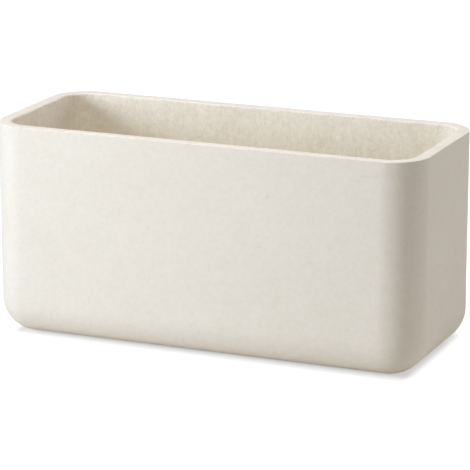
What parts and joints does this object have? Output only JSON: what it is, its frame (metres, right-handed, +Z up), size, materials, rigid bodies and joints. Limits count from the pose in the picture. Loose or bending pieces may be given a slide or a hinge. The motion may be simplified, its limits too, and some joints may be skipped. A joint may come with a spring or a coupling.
{
  "type": "planter pot",
  "caption": "Rectangular trough planter with rounded corners and a rolled base edge, open at the top, with pull-out rubber drain stoppers and thin foot pads.",
  "frame": {"origin": "on the ground, under the middle of the trough", "axes": "+X along the trough to its right end, +Y across it to the back, +Z up; the front is the long face at -Y"},
  "size_m": [0.6, 0.25, 0.289],
  "materials": {
    "fibre_cement": "matte off-white moulded fibre cement, fine pits along the rim and a rougher inside",
    "stopper_rubber": "satin moulded rubber",
    "pad_rubber": "matte rubber sheet"
  },
  "bodies": {
    "trough": {"trough_shell": "fibre_cement", "foot_pad_left_front": "pad_rubber", "foot_pad_left_back": "pad_rubber", "foot_pad_right_front": "pad_rubber", "foot_pad_right_back": "pad_rubber"},
    "stopper_left": {"drain_stopper_left": "stopper_rubber"},
    "stopper_right": {"drain_stopper_right": "stopper_rubber"}
  },
  "joints": [
    {"name": "stopper_left_pull", "type": "slide", "parent": "trough", "child": "stopper_left", "axis": [0, 0, 1], "range_m": [0, 0.3]},
    {"name": "stopper_right_pull", "type": "slide", "parent": "trough", "child": "stopper_right", "axis": [0, 0, 1], "range_m": [0, 0.3]}
  ]
}
